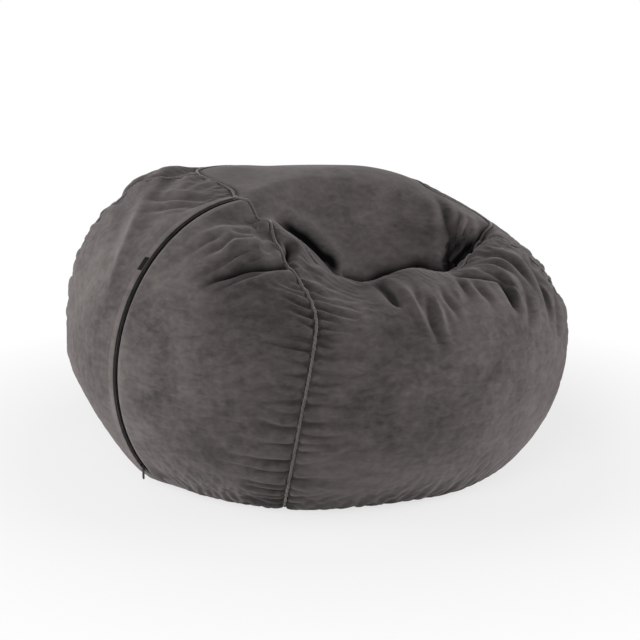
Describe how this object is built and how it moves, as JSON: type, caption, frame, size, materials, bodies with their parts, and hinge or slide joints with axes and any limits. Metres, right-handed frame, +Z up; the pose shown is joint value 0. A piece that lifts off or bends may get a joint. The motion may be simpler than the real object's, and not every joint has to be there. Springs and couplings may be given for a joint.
{
  "type": "bean bag chair",
  "caption": "Large round bean bag chair with a sat-in hollow, piped gore panels, a round top panel, a curved side zip and a separate liner of beads.",
  "frame": {"origin": "middle of the flat face that the bag rests on, at floor level, under the middle of its bounding box", "axes": "+Z up; -Y is the front of the seat, which the front seam runs down; +X is to the right of someone facing the front"},
  "size_m": [1.2181, 1.2133, 0.6756],
  "materials": {
    "cover_cloth": "warm grey suede-finish microfibre",
    "piping_cloth": "same suede-finish cloth over a cord",
    "zip_tape_cloth": "woven black tape",
    "zip_teeth_plastic": "black moulded teeth",
    "zip_metal": "black enamel",
    "label_cloth": "black woven label, bare",
    "liner_cloth": "plain off-white non-woven cloth",
    "bead_fill": "expanded foam beads"
  },
  "bodies": {
    "bag": {"panel_zip_left": "cover_cloth", "panel_zip_right": "cover_cloth", "panel_front_right": "cover_cloth", "panel_back_right": "cover_cloth", "panel_back_left": "cover_cloth", "top_cap": "cover_cloth", "bottom_cap": "cover_cloth", "piping_front": "piping_cloth", "piping_right": "piping_cloth", "piping_back": "piping_cloth", "piping_left": "piping_cloth", "piping_top_ring": "piping_cloth", "piping_bottom_ring": "piping_cloth", "zip_placket": "cover_cloth", "zip_tape_left": "zip_tape_cloth", "zip_tape_right": "zip_tape_cloth", "zip_teeth_left": "zip_teeth_plastic", "zip_teeth_right": "zip_teeth_plastic", "zip_top_stop": "zip_metal", "zip_bottom_stop": "zip_metal", "seam_label": "label_cloth", "liner_gore_front": "liner_cloth", "liner_gore_right": "liner_cloth", "liner_gore_back": "liner_cloth", "liner_gore_left": "liner_cloth", "liner_top": "liner_cloth", "liner_bottom": "liner_cloth", "bead_filling": "bead_fill"},
    "slider": {"zip_slider": "zip_metal"},
    "pull": {"zip_pull": "zip_metal"}
  },
  "joints": [
    {"name": "slider_travel", "type": "hinge", "parent": "bag", "child": "slider", "pos_m": [-0.17548, -0.16364, 0.28994], "axis": [-0.682, 0.7314, 0], "range_deg": [0, 121.6]},
    {"name": "pull_swing", "type": "hinge", "parent": "slider", "child": "pull", "pos_m": [-0.39208, -0.36562, 0.07447], "axis": [-0.682, 0.7314, 0], "range_deg": [-30, 130]}
  ]
}
